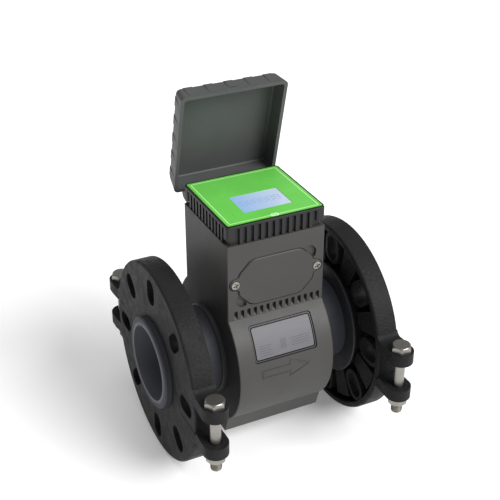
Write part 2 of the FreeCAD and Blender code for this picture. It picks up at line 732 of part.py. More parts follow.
def lid_block(grow, z_top):
    """Outer form of the closed lid: walls that lean in to a rounded roof edge.

    The walls stand further out by the growth at the roof, and by none at the rim.
    """
    pull = LID_DRAFT - grow
    rings = []
    for inward, z in ((0, LID_RIM_Z), (pull, z_top)):
        x = LID_X - inward
        y0, y1 = LID_Y[0] + inward, LID_Y[1] - inward
        rings.append(outline([(-x, y0, LID_CORNER), (x, y0, LID_CORNER),
                              (x, y1, LID_CORNER), (-x, y1, LID_CORNER)], in_xy(z)))
    form = Part.makeLoft([ring.OuterWire for ring in rings], True, True)
    return round_edges(form, LID_ROOF_ROUND, lambda edge: edge.BoundBox.ZMin > z_top - 0.01)


def lid_ribs():
    """Raised bands on the front and side walls that run over the roof's edge."""
    half = LID_RIB_W / 2
    top = LID_TOP_Z - 1.2
    bands = []
    for i in range(-2, 3):
        middle = i * LID_RIB_PITCH
        bands.append(box(middle - half, middle + half, LID_Y[0] - 2, LID_Y[0] + 6,
                         LID_RIB_START_Z, top))
        middle_y = middle + (LID_Y[0] + LID_Y[1]) / 2
        bands.append(box(-LID_X - 2, LID_X + 2, middle_y - half, middle_y + half,
                         LID_RIB_START_Z, top))
    raised = lid_block(LID_RIB_H, LID_TOP_Z + 0.01)
    return [raised.common(band) for band in bands]


def lid_closed():
    outer = union([lid_block(0, LID_TOP_Z)] + lid_ribs())
    rings = []
    for inward, z in ((0, LID_RIM_Z - 0.5), (LID_ROOM_DRAFT, LID_CEILING_Z)):
        x = LID_X - LID_WALL - inward
        y0, y1 = LID_Y[0] + LID_WALL + inward, LID_Y[1] - LID_WALL - inward
        rings.append(outline([(-x, y0, 3), (x, y0, 3), (x, y1, 3), (-x, y1, 3)], in_xy(z)))
    room = Part.makeLoft([ring.OuterWire for ring in rings], True, True)
    room = round_edges(room, 1.5, lambda edge: edge.BoundBox.ZMin > LID_CEILING_Z - 0.01)
    grip_y = LID_Y[0] + GRIP_DEPTH - GRIP_R
    grip = rod(GRIP_R, (0, grip_y, LID_RIM_Z - 2), (0, grip_y, GRIP_TOP_Z))
    return outer.cut(room).cut(grip)


def lid_knuckle(x0, x1):
    barrel = rod(BARREL_R, (x0, HINGE_Y, HINGE_Z), (x1, HINGE_Y, HINGE_Z))
    back = LID_Y[1] - 1.5
    arm = slab([(HINGE_Y + BARREL_R, HINGE_Z), (HINGE_Y + BARREL_R, HINGE_Z + 9, 5),
                (back, HINGE_Z + 20), (back, HINGE_Z + 7), (HINGE_Y - 2.6, HINGE_Z + 3.8)],
               in_yz(x0), V(x1 - x0, 0, 0))
    return union([barrel, arm])


def lid():
    shape = union([lid_closed()] + [lid_knuckle(x0, x1) for x0, x1 in LID_KNUCKLES])
    shape = shape.cut(rod(HINGE_PIN_R + HINGE_FIT, (-60, HINGE_Y, HINGE_Z),
                          (60, HINGE_Y, HINGE_Z)))
    shape.rotate(V(0, HINGE_Y, HINGE_Z), X_AXIS, -LID_OPEN)
    return shape


def hinge_pin():
    reach = LID_KNUCKLES[-1][1] - 0.5
    return rod(HINGE_PIN_R, (-reach, HINGE_Y, HINGE_Z), (reach, HINGE_Y, HINGE_Z))


def pieces():
    made = {
        "measuring_tube": measuring_tube(),
        "tube_liner": tube_liner(),
        "magnet_yoke": magnet_yoke(),
        "housing": housing(),
        "terminal_cover": terminal_cover(),
        "cover_gasket": cover_gasket(),
        "terminal_block": terminal_block(),
        "battery_pack": battery_pack(),
        "circuit_board": circuit_board(),
        "lcd_module": lcd_module(),
        "display_bezel": display_bezel(),
        "display_faceplate": display_faceplate(),
        "name_plate": name_plate(),
        "lid": lid(),
        "hinge_pin": hinge_pin(),
    }
    for level_name, level in (("upper", 1), ("lower", -1)):
        made["pole_shoe_" + level_name] = pole_shoe(level)
        made["coil_" + level_name] = coil(level)
    for end_name, end in ENDS:
        made["electrode_" + end_name] = electrode(end)
    for side_name, side in SIDES:
        made["collar_" + side_name] = collar(side)
        made["neck_seal_" + side_name] = neck_seal(side)
        made["cover_screw_" + side_name] = cover_screw(side)
        for level_name, level in (("upper", 1), ("lower", -1)):
            made["flange_" + side_name + "_" + level_name] = flange_half(side, level)
        for end_name, end in ENDS:
            made["clamp_bolt_" + side_name + "_" + end_name] = clamp_bolt(side, end)
            made["clamp_nut_" + side_name + "_" + end_name] = clamp_nut(side, end)
    return made


os.makedirs("parts", exist_ok=True)
for name, shape in pieces().items():
    if len(shape.Solids) != 1 or not shape.isValid():
        print("check", name, len(shape.Solids), "solids, valid", shape.isValid())
    solid = shape.Solids[0]
    solid.exportStep(os.path.join("parts", name + ".step"))
    size = solid.BoundBox
    print(f"{name:26s} {solid.Volume / 1000:8.1f} cm3  x {size.XMin:7.1f} {size.XMax:7.1f}"
          f"  y {size.YMin:7.1f} {size.YMax:7.1f}  z {size.ZMin:7.1f} {size.ZMax:7.1f}")
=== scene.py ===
import math

import bmesh
import bpy
from mathutils import Matrix, Vector


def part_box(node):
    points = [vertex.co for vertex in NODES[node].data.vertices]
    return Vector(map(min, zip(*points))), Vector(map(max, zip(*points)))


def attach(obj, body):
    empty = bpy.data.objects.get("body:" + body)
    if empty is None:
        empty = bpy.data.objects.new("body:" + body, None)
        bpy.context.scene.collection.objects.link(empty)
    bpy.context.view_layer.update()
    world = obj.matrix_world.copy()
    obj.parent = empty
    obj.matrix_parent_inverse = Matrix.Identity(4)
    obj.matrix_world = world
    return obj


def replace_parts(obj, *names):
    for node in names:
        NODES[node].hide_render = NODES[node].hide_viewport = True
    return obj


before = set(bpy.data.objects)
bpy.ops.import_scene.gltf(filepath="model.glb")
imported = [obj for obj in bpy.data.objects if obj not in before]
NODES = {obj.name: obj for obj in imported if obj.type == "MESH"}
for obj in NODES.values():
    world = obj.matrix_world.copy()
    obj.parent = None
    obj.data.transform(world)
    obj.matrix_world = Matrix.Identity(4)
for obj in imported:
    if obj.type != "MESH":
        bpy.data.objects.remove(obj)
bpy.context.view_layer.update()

bl_info = {
    "name": "Flow Meter Finisher",
    "version": (1, 0, 0),
    "blender": (4, 5, 0),
    "location": "3D View > Sidebar > Flow Meter",
    "description": "Finishes the packed model of an electromagnetic flow meter",
    "category": "Object",
}

MM = 0.001
MICRON = 1e-6
LEFT_RIGHT = ("left", "right")
FRONT_REAR = ("front", "rear")
UPPER_LOWER = ("upper", "lower")

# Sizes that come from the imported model, in metres
FLOOR_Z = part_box("flange_left_lower")[0][2]
FACE_LOW, FACE_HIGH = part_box("display_faceplate")
GLASS_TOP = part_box("lcd_module")[1][2]
COVER_LOW, COVER_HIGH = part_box("terminal_cover")
DRUM_R = -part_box("housing")[0][1]

# Finger pockets at two of the cover's corners, from the cover's middle
POCKET_X = (30.0 * MM, 42.4 * MM)
POCKET_Z = (10.6 * MM, 25.0 * MM)
POCKET_CORNER = 2.0 * MM
POCKET_FLOOR = 0.3 * MM
POCKET_BACK = 1.3 * MM

# Thread of the clamp bolts: radii, half the ridge's foot as a share of the pitch, and half
# its crest as a share of that
THREAD_ROOT_R = 4.9 * MM
THREAD_CREST_R = 5.3 * MM
THREAD_FOOT = 0.4
THREAD_CREST = 0.15
THREAD_STEPS = 24
THREAD_FROM_TIP = 1.6 * MM
THREAD_BELOW_NUT = 0.3 * MM

# Cover screws: pan head with a cross recess
HEAD_THICK = 2.0 * MM
HEAD_STEPS = 36
HEAD_FLAT = 0.78
HEAD_RIM = ((0.94, 0.3 * MM), (1.0, 0.8 * MM), (1.0, HEAD_THICK))
CROSS_ARM = 2.7 * MM
CROSS_HALF = 0.7 * MM
CROSS_DEEP = 1.5 * MM
CROSS_TAPER = 0.75
CROSS_TURN = 20
SHANK_R = 1.95 * MM
SHANK_STEPS = 24

# Print on the face plate, and the painted shadow line round its edge
LINE_INSET = 4.0 * MM
LINE_CORNER = 1.5 * MM
SIGN_HALF = 3.6 * MM
SIGN_FRONT = 1.8 * MM
SIGN_BACK = 2.6 * MM
SIGN_CORNER = 1.2 * MM
SIGN_LINE = 0.9 * MM
SHADOW_LINE_PROUD = 0.12 * MM
SHADOW_LINE_CORNER = 3.3 * MM
SHADOW_LINE_WIDTH = 1.4 * MM

# Seven-segment figures of the display
FIGURES = 6
FIGURE_MIDDLE = (1.0 * MM, -11.0 * MM)
FIGURE_STEP = 6.8 * MM
FIGURE_WIDTH = 4.6 * MM
FIGURE_HEIGHT = 9.0 * MM
BAR = 0.7 * MM
BAR_DEPTH = 0.03 * MM
# Reach each way of the painted reflection that lightens the display glass to the right
PAINTED_REFLECTION_REACH = 30.0 * MM

# Ruled lines on the data plate. Their height is an angle up the drum's front
PLATE_R = DRUM_R - 0.95 * MM
RULE_STEP = 2.3 * MM
RULE_WIDTH = 0.35 * MM
LEFT_RULES, LEFT_RULES_FROM = 5, 19.0
LEFT_RULES_X = (-26.0 * MM, -13.0 * MM)
LEFT_RULES_STAGGER = 2.0 * MM
RIGHT_RULES, RIGHT_RULES_FROM = 4, 21.5
RIGHT_RULES_X = (7.0 * MM, 26.0 * MM)
TICK_BOX_X = (-4.0 * MM, 1.0 * MM)
TICK_BOX_HIGH = 1.6 * MM
TICK_BOX_LINE = 0.3 * MM
# Strokes of the plate's brushing per metre: 17 mm long, a quarter of a millimetre apart
BRUSHING = (60, 4000, 4000)

# Painted shadow round the data plate, two dark rings in place of the shade at the recess's edge and
# at the plate's edge: half width, angles from and to, corner and line, for two rings
PLATE_SHADOW_R = 72.1 * MM
PLATE_SHADOW_RINGS = ((32.45 * MM, 14.6, 43.4, 3.4 * MM, 0.5 * MM),
              (30.9 * MM, 16.1, 41.9, 2.6 * MM, 0.9 * MM))
PLATE_SHADOW_DEPTH = 0.3 * MM
PLATE_SHADOW_SUNK = 0.1 * MM

# Flow arrow: ends and half widths, laid out along x and up the drum's front
ARROW_TAIL, ARROW_NECK, ARROW_TIP = -26.0 * MM, 2.6 * MM, 24.8 * MM
ARROW_SHAFT, ARROW_HEAD = 4.2 * MM, 9.6 * MM
ARROW_MIDDLE = 5.4 * MM
ARROW_SUNK = 0.15 * MM

CORNER_STEPS = 4
WRAP_STEP = 1.5 * MM

# Stage: camera, lamps and floor, in metres and degrees
CAMERA_PLACE = (-0.38702, -0.78729, 0.59675)
CAMERA_AZIMUTH = -25.943
CAMERA_ELEVATION = 29.715
CAMERA_LENS = 76.56
CAMERA_SENSOR = 36.0
KEY_PLACE, KEY_STRENGTH = (2.0, -3.2, 2.8), 3.9
TOP_PLACE, TOP_STRENGTH = (-0.2, 0.3, 4.0), 0.6
LAMP_ANGLE = 38
ROOM_STRENGTH = 0.34
FLOOR_HALF = 60.0
FLOOR_GLOW = 0.16

# Sizes of the slow mottles, and the part of a noise's range that its colours are spread over
FLOW_MOTTLE_MM = 30
SHEEN_MOTTLE_MM = 12
METAL_MOTTLE_MM = 8
NOISE_LOW, NOISE_HIGH = 0.3, 0.7


# ------------------------------------------------------------ colours and nodes

def colour(hex_text):
    """Linear RGBA of an sRGB hex value."""
    channels = [int(hex_text[i:i + 2], 16) / 255 for i in (0, 2, 4)]
    linear = [c / 12.92 if c <= 0.04045 else ((c + 0.055) / 1.055) ** 2.4 for c in channels]
    return (*linear, 1.0)


def shade(value, factor):
    """The same colour, lighter or darker."""
    return (*[channel * factor for channel in value[:3]], 1.0)


def grey(value):
    """A colour that carries one number, such as a roughness."""
    return (value, value, value, 1.0)


def add(tree, kind, settings=None, links=None):
    """Adds one node. Settings fill its properties or sockets, links join its inputs."""
    node = tree.nodes.new(kind)
    for key, value in (settings or {}).items():
        if isinstance(key, int) or key in node.inputs:
            node.inputs[key].default_value = value
        else:
            setattr(node, key, value)
    for key, source in (links or {}).items():
        tree.links.new(source, node.inputs[key])
    return node


def new_material(name, shader):
    """Material with a Principled shader whose sockets are set, its tree, shader and coordinates."""
    material = bpy.data.materials.new(name)
    material.use_nodes = True
    tree = material.node_tree
    tree.nodes.clear()
    principled = add(tree, "ShaderNodeBsdfPrincipled", shader)
    add(tree, "ShaderNodeOutputMaterial", links={"Surface": principled.outputs["BSDF"]})
    place = add(tree, "ShaderNodeTexCoord").outputs["Object"]
    return material, tree, principled, place


def noise(tree, place, size_mm, detail=2.0, roughness=0.5):
    """Noise whose features are about size_mm across."""
    return add(tree, "ShaderNodeTexNoise",
               {"Scale": 1 / (size_mm * MM), "Detail": detail, "Roughness": roughness},
               {"Vector": place}).outputs["Fac"]


def ramp(tree, factor, low, high, low_at=NOISE_LOW, high_at=NOISE_HIGH):
    """Ramp from one colour to another between two places of its factor."""
    node = add(tree, "ShaderNodeValToRGB", links={"Fac": factor})
    for element, position, value in zip(node.color_ramp.elements, (low_at, high_at), (low, high)):
        element.position = position
        element.color = value
    return node.outputs["Color"]


def moulded(name, value, rough, grain_mm, bump_um, spread=0.06, gloss_spread=0.05,
            specular=0.35):
    """Moulded, coated or printed: an even colour, a faint slow mottle and a fine grain."""
    material, tree, principled, place = new_material(
        name, {"IOR": 1.5, "Specular IOR Level": specular})
    tint = ramp(tree, noise(tree, place, FLOW_MOTTLE_MM, 3),
                shade(value, 1 - spread), shade(value, 1 + spread))
    tree.links.new(tint, principled.inputs["Base Color"])
    sheen = ramp(tree, noise(tree, place, SHEEN_MOTTLE_MM, 3),
                 grey(rough - gloss_spread), grey(rough + gloss_spread))
    tree.links.new(sheen, principled.inputs["Roughness"])
    grain = noise(tree, place, grain_mm, 2, 0.6)
    bump = add(tree, "ShaderNodeBump", {"Strength": 1.0, "Distance": bump_um * MICRON},
               {"Height": grain})
    tree.links.new(bump.outputs["Normal"], principled.inputs["Normal"])
    return material


def metal(name, value, rough, grain_mm, spread=0.08):
    """Bare metal with a faint mottle in its colour and a fine grain in its gloss."""
    material, tree, principled, place = new_material(name, {"Metallic": 1.0})
    tint = ramp(tree, noise(tree, place, METAL_MOTTLE_MM, 3),
                shade(value, 1 - spread), shade(value, 1 + spread))
    tree.links.new(tint, principled.inputs["Base Color"])
    gloss = ramp(tree, noise(tree, place, grain_mm, 2), grey(rough * 0.92), grey(rough * 1.1))
    tree.links.new(gloss, principled.inputs["Roughness"])
    return material


# ------------------------------------------------------------ mesh helpers

def to_object(mesh_data, name, body, material, smooth_degrees=30):
    """Object from a bmesh, shaded smooth under an angle, riding on its body."""
    mesh = bpy.data.meshes.new(name)
    mesh_data.normal_update()
    mesh_data.to_mesh(mesh)
    mesh_data.free()
    piece = bpy.data.objects.new(name, mesh)
    bpy.context.scene.collection.objects.link(piece)
    mesh.materials.append(material)
    mesh.shade_smooth()
    mesh.set_sharp_from_angle(angle=math.radians(smooth_degrees))
    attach(piece, body)
    return piece


def finish_node(node, material):
    """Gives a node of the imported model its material."""
    piece = NODES[node]
    piece.data.materials.clear()
    piece.data.materials.append(material)


def flat_face(mesh_data, corners):
    """One upward face through corners (x, y) in the plane z = 0."""
    verts = [mesh_data.verts.new((x, y, 0)) for x, y in corners]
    face = mesh_data.faces.new(verts)
    face.normal_update()
    return face


def soften_corners(mesh_data, radius):
    """Rounds the corners of a flat face in its own plane."""
    bmesh.ops.bevel(mesh_data, geom=mesh_data.verts[:], offset=radius, offset_type="OFFSET",
                    segments=CORNER_STEPS, profile=0.5, affect="VERTICES", material=-1)


def line_ring(mesh_data, width):
    """Turns a flat face into a closed line of the given width, inside its edge."""
    inner = mesh_data.faces[:]
    bmesh.ops.inset_region(mesh_data, faces=inner, thickness=width, use_even_offset=True,
                           use_boundary=True)
    bmesh.ops.delete(mesh_data, geom=inner, context="FACES")


def verts_of(geometry):
    """The vertices among an operator's results."""
    return [item for item in geometry if isinstance(item, bmesh.types.BMVert)]


def thicken(mesh_data, depth):
    """Extrudes flat faces up by depth, and keeps them as the underside."""
    result = bmesh.ops.extrude_face_region(mesh_data, geom=mesh_data.faces[:],
                                           use_keep_orig=True)
    bmesh.ops.translate(mesh_data, verts=verts_of(result["geom"]), vec=(0, 0, depth))
    bmesh.ops.recalc_face_normals(mesh_data, faces=mesh_data.faces[:])


def rectangle(x0, x1, y0, y1):
    """Corners of an upright rectangle."""
    return [(x0, y0), (x1, y0), (x1, y1), (x0, y1)]


def flat_patch(target, corners, depth, radius=0.0, line=0.0, height=0.0):
    """Adds a thin flat patch, or its outline where a line width is given, to a bmesh."""
    patch = bmesh.new()
    flat_face(patch, corners)
    if radius:
        soften_corners(patch, radius)
    if line:
        line_ring(patch, line)
    thicken(patch, depth)
    bmesh.ops.translate(patch, verts=patch.verts, vec=(0, 0, height))
    mesh = bpy.data.meshes.new("patch")
    patch.to_mesh(mesh)
    patch.free()
    target.from_mesh(mesh)
    bpy.data.meshes.remove(mesh)


def wrap_on_drum(mesh_data, radius):
    """Bends flat work round the drum's front: x stays, y runs up round it, z points out."""
    low = min(vert.co.y for vert in mesh_data.verts)
    high = max(vert.co.y for vert in mesh_data.verts)
    for i in range(1, int((high - low) / WRAP_STEP)):
        bmesh.ops.bisect_plane(mesh_data, geom=mesh_data.verts[:] + mesh_data.edges[:] +
                               mesh_data.faces[:], plane_co=(0, low + i * WRAP_STEP, 0),
                               plane_no=(0, 1, 0))
    for vert in mesh_data.verts:
        x, y, z = vert.co
        turn = y / radius
        vert.co = (x, -(radius + z) * math.cos(turn), (radius + z) * math.sin(turn))


# ------------------------------------------------------------ settings

def colour_setting(name, description, hex_text):
    return bpy.props.FloatVectorProperty(name=name, description=description, subtype="COLOR",
                                         size=4, min=0.0, max=1.0, default=colour(hex_text))


def length_setting(name, description, value_mm):
    return bpy.props.FloatProperty(name=name, description=description, unit="LENGTH",
                                   default=value_mm * MM, min=0.0)


class FlowMeterColours(bpy.types.PropertyGroup):
    """Colours that a user would change."""
    housing: colour_setting("Housing", "Moulded grey of the drum and tower", "3B3A39")
    lid: colour_setting("Lid", "Moulded grey of the lid", "484949")
    crown: colour_setting("Crown", "Dark grey of the ribbed display head", "1D1C1E")
    flange: colour_setting("Flanges", "Black coating of the split flanges", "212122")
    tube: colour_setting("Flow tube", "Dark grey coating of the pipe ends and neck", "3F4046")
    face: colour_setting("Face plate", "Green of the display's face plate", "66C24F")
    face_line: colour_setting("Face line", "Pale green line round the face plate", "B9F2A0")
    glass: colour_setting("Display glass", "Pale blue of the resting display", "86AEDD")
    plate: colour_setting("Data plate", "Dull silver of the data plate", "636266")
    steel: colour_setting("Bolts", "Bright stainless steel", "94928C")


class FlowMeterSizes(bpy.types.PropertyGroup):
    """Sizes of the pieces that the finisher adds."""
    arrow_line: length_setting("Arrow line", "Width of the raised line of the flow arrow", 1.0)
    arrow_height: length_setting("Arrow height", "How far the flow arrow stands up", 0.5)
    face_line: length_setting("Face line", "Width of the line round the face plate", 0.9)
    print_depth: length_setting("Print depth", "Thickness of printed marks", 0.04)
    thread_pitch: length_setting("Thread pitch", "Pitch of the clamp bolts' thread", 1.5)


def settings():
    """The scene's colours and sizes."""
    scene = bpy.context.scene
    return scene.flow_meter_colours, scene.flow_meter_sizes


# ------------------------------------------------------------ operators

class FLOW_OT_stage(bpy.types.Operator):
    """Pale floor, soft studio light and the camera"""
    bl_idname = "flow.stage"
    bl_label = "Make stage"

    def execute(self, context):
        self.camera()
        self.floor()
        self.lamp("key_light", KEY_PLACE, KEY_STRENGTH)
        self.lamp("top_light", TOP_PLACE, TOP_STRENGTH)
        # The default view transform keeps every white dull
        context.scene.view_settings.view_transform = "Standard"
        world = bpy.data.worlds.new("studio_white")
        context.scene.world = world
        world.use_nodes = True
        background = world.node_tree.nodes["Background"]
        background.inputs["Color"].default_value = (1, 1, 1, 1)
        background.inputs["Strength"].default_value = ROOM_STRENGTH
        return {"FINISHED"}

    def camera(self):
        data = bpy.data.cameras.new("camera")
        data.sensor_width = CAMERA_SENSOR
        data.lens = CAMERA_LENS
        camera = bpy.data.objects.new("camera", data)
        camera.location = CAMERA_PLACE
        camera.rotation_euler = (math.pi / 2 - math.radians(CAMERA_ELEVATION), 0,
                                 math.radians(CAMERA_AZIMUTH))
        bpy.context.scene.collection.objects.link(camera)
        bpy.context.scene.camera = camera

    def floor(self):
        """Flat floor under the flanges, out to the horizon."""
        sheet = bmesh.new()
        bmesh.ops.create_grid(sheet, x_segments=1, y_segments=1, size=FLOOR_HALF)
        bmesh.ops.translate(sheet, verts=sheet.verts, vec=(0, 0, FLOOR_Z))
        mesh = bpy.data.meshes.new("floor")
        sheet.to_mesh(mesh)
        sheet.free()
        floor = bpy.data.objects.new("floor", mesh)
        bpy.context.scene.collection.objects.link(floor)
        # Cast acrylic sheet lit from below: pale and matt, and shadows on it stay light.
        material, _, _, _ = new_material("lit_acrylic_floor", {
            "Base Color": colour("F3F3F3"), "Roughness": 0.9,
            "Emission Color": colour("FFFFFF"), "Emission Strength": FLOOR_GLOW})
        mesh.materials.append(material)

    def lamp(self, name, place, strength):
        """Broad soft light from far off, so that the floor is lit evenly."""
        data = bpy.data.lights.new(name, "SUN")
        data.angle = math.radians(LAMP_ANGLE)
        data.energy = strength
        light = bpy.data.objects.new(name, data)
        light.location = place
        light.rotation_euler = Vector(place).to_track_quat("Z", "Y").to_euler()
        bpy.context.scene.collection.objects.link(light)


class FLOW_OT_housing(bpy.types.Operator):
    """Moulded housing, terminal cover, lid and display head"""
    bl_idname = "flow.housing"
    bl_label = "Finish housing"

    def execute(self, context):
        colours, _ = settings()
        # ABS from an eroded mould: a warm mid grey with a satin face and a fine leathery
        # grain, drawn coarser than the real 0.3 mm so that it shows.
        abs_grey = moulded("moulded_abs_grey", colours.housing, rough=0.52, grain_mm=0.9,
                           bump_um=45, spread=0.05, gloss_spread=0.02)
        for node in ("housing", "terminal_cover"):
            finish_node(node, abs_grey)
        self.pocket_floors(abs_grey)
        # The same ABS from the lid's own mould: a cooler, lighter grey, as satin.
        finish_node("lid", moulded("moulded_abs_lid_grey", colours.lid, rough=0.5, grain_mm=0.9,
                                   bump_um=40, spread=0.05, gloss_spread=0.02))
        # Near-black ABS of the display head: only the fins' edges and faces catch light.
        finish_node("display_bezel", moulded("moulded_abs_near_black", colours.crown, rough=0.5,
                                             grain_mm=0.9, bump_um=40))
        return {"FINISHED"}

    def pocket_floors(self, material):
        """Floors of the two finger pockets at the cover's corners, inside the front wall."""
        middle = (COVER_LOW[2] + COVER_HIGH[2]) / 2
        floors = bmesh.new()
        for turn in (1, -1):
            x0, x1 = sorted(reach * turn for reach in POCKET_X)
            z0, z1 = sorted(middle + reach * turn for reach in POCKET_Z)
            flat_patch(floors, rectangle(x0, x1, z0, z1), POCKET_FLOOR, POCKET_CORNER)
        upright = Matrix.Translation((0, COVER_HIGH[1] + POCKET_BACK, 0)) @ Matrix.Rotation(
            math.pi / 2, 4, "X")
        bmesh.ops.transform(floors, matrix=upright, verts=floors.verts[:])
        to_object(floors, "pocket_floors", "meter", material)


class FLOW_OT_tube(bpy.types.Operator):
    """Flow tube, its collars and liner, and the seals"""
    bl_idname = "flow.tube"
    bl_label = "Finish flow tube"

    def execute(self, context):
        colours, _ = settings()
        # Epoxy powder baked on a steel tube: an even bluish grey with a weak, soft shine.
        finish_node("measuring_tube", moulded("epoxy_powder_on_steel_grey", colours.tube,
                                              rough=0.55, grain_mm=1.2, bump_um=30,
                                              specular=0.15))
        # The tube's powder colour darkened as painted shade, so that the collars show as dark as
        # the shade behind the flanges.
        collar = moulded("epoxy_powder_with_painted_shade", shade(colours.tube, 0.55), rough=0.5,
                         grain_mm=1.2, bump_um=30)
        # Moulded hard rubber: a dull mid grey that shades evenly down the bore.
        finish_node("tube_liner", moulded("moulded_hard_rubber", colour("585A60"), rough=0.5,
                                          grain_mm=1.0, bump_um=25, specular=0.2))
        # Moulded soft rubber: a dull dark grey line between two smoother pieces.
        seal = moulded("moulded_soft_rubber", colour("37383B"), rough=0.5, grain_mm=0.8,
                       bump_um=20)
        for side in LEFT_RIGHT:
            finish_node("collar_" + side, collar)
            finish_node("neck_seal_" + side, seal)
        finish_node("cover_gasket", seal)
        return {"FINISHED"}


class FLOW_OT_flanges(bpy.types.Operator):
    """Split clamp flanges"""
    bl_idname = "flow.flanges"
    bl_label = "Finish flanges"

    def execute(self, context):
        colours, _ = settings()
        # Black epoxy dipped over a sand casting: the sand's unevenness, drawn coarser and
        # deeper than the real 0.5 mm so that it shows, breaks up a weak satin gloss.
        coat = moulded("black_epoxy_on_sand_casting", colours.flange, rough=0.5, grain_mm=2.6,
                       bump_um=900, spread=0.16, gloss_spread=0.08, specular=0.08)
        for side in LEFT_RIGHT:
            for level in UPPER_LOWER:
                finish_node(f"flange_{side}_{level}", coat)
        return {"FINISHED"}


class FLOW_OT_fasteners(bpy.types.Operator):
    """Clamp bolts, nuts, cover screws, electrodes and hinge pin"""
    bl_idname = "flow.fasteners"
    bl_label = "Finish fasteners"

    def execute(self, context):
        colours, _ = settings()
        # Cold-forged stainless steel: a pale, slightly warm metal with smeared reflections.
        bright = metal("forged_stainless_steel", colours.steel, rough=0.36, grain_mm=0.6)
        # Rolled thread with a film of oil: darker than the shank, so that its turns show.
        rolled = metal("oiled_rolled_thread", colour("5B584F"), rough=0.5, grain_mm=0.6)
        for node in ("hinge_pin", "electrode_front", "electrode_rear"):
            finish_node(node, bright)
        for side in LEFT_RIGHT:
            finish_node("cover_screw_" + side, bright)
            self.cross_head("cover_screw_" + side, bright)
            for end in FRONT_REAR:
                bolt, nut = f"clamp_bolt_{side}_{end}", f"clamp_nut_{side}_{end}"
                finish_node(bolt, bright)
                finish_node(nut, bright)
                self.thread(bolt, nut, rolled)
        return {"FINISHED"}

    def thread(self, bolt, nut, material):
        """Helical ridge on the bolt's end below its nut."""
        _, sizes = settings()
        low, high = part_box(bolt)
        x, y = (low[0] + high[0]) / 2, (low[1] + high[1]) / 2
        start = low[2] + THREAD_FROM_TIP
        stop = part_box(nut)[0][2] - THREAD_BELOW_NUT
        pitch = sizes.thread_pitch
        turns = (stop - start) / pitch
        foot = pitch * THREAD_FOOT
        crest = foot * THREAD_CREST
        ridge = bmesh.new()
        corners = [ridge.verts.new(co) for co in (
            (THREAD_ROOT_R, 0, -foot), (THREAD_CREST_R, 0, -crest),
            (THREAD_CREST_R, 0, crest), (THREAD_ROOT_R, 0, foot))]
        tooth = ridge.faces.new(corners)
        bmesh.ops.spin(ridge, geom=[tooth], cent=(0, 0, 0), axis=(0, 0, 1),
                       dvec=(0, 0, pitch / THREAD_STEPS), angle=math.tau * turns,
                       steps=round(THREAD_STEPS * turns))
        bmesh.ops.recalc_face_normals(ridge, faces=ridge.faces[:])
        bmesh.ops.translate(ridge, verts=ridge.verts, vec=(x, y, start))
        to_object(ridge, bolt + "_thread", "meter", material, smooth_degrees=20)

    def cross_head(self, node, material):
        """Pan head with a cross recess, on a plain shank, in place of a plain screw."""
        low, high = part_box(node)
        middle_x, middle_z = (low[0] + high[0]) / 2, (low[2] + high[2]) / 2
        radius = (high[0] - low[0]) / 2
        head = bmesh.new()
        rim = self.recessed_top(head, radius)
        for share, drop in HEAD_RIM:
            grown = bmesh.ops.extrude_edge_only(head, edges=rim)["geom"]
            for vert in verts_of(grown):
                flat = Vector((vert.co.x, vert.co.y, 0)).normalized() * radius * share
                vert.co = (flat.x, flat.y, -drop)
            rim = [item for item in grown if isinstance(item, bmesh.types.BMEdge)]
        bmesh.ops.contextual_create(head, geom=rim)
        length = high[1] - low[1] - HEAD_THICK
        shank = bmesh.ops.create_cone(head, cap_ends=True, segments=SHANK_STEPS,
                                      radius1=SHANK_R, radius2=SHANK_R, depth=length)
        bmesh.ops.translate(head, verts=shank["verts"], vec=(0, 0, -HEAD_THICK - length / 2))
        bmesh.ops.recalc_face_normals(head, faces=head.faces[:])
        place = (Matrix.Translation((middle_x, low[1], middle_z)) @
                 Matrix.Rotation(math.pi / 2, 4, "X") @
                 Matrix.Rotation(math.radians(CROSS_TURN), 4, "Z"))
        bmesh.ops.transform(head, matrix=place, verts=head.verts[:])
        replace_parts(to_object(head, node + "_head", "meter", material), node)

    def recessed_top(self, head, radius):
        """Flat top of the head with its cross recess. Returns the edges of its rim."""
        half, arm = CROSS_HALF, CROSS_ARM
        cross = flat_face(head, [(half, half), (half, arm), (-half, arm), (-half, half),
                                 (-arm, half), (-arm, -half), (-half, -half), (-half, -arm),
                                 (half, -arm), (half, -half), (arm, -half), (arm, half)])
        floor = bmesh.ops.extrude_face_region(head, geom=[cross])["geom"]
        bmesh.ops.delete(head, geom=[cross], context="FACES_ONLY")
        bmesh.ops.translate(head, verts=verts_of(floor), vec=(0, 0, -CROSS_DEEP))
        bmesh.ops.scale(head, verts=verts_of(floor), vec=(CROSS_TAPER, CROSS_TAPER, 1))
        mouth = [item for item in head.edges if len(item.link_faces) == 1]
        bmesh.ops.create_circle(head, cap_ends=False, radius=radius * HEAD_FLAT,
                                segments=HEAD_STEPS)
        rim = [item for item in head.edges if not item.link_faces]
        bmesh.ops.triangle_fill(head, use_beauty=True, edges=mouth + rim, normal=(0, 0, 1))
        return rim


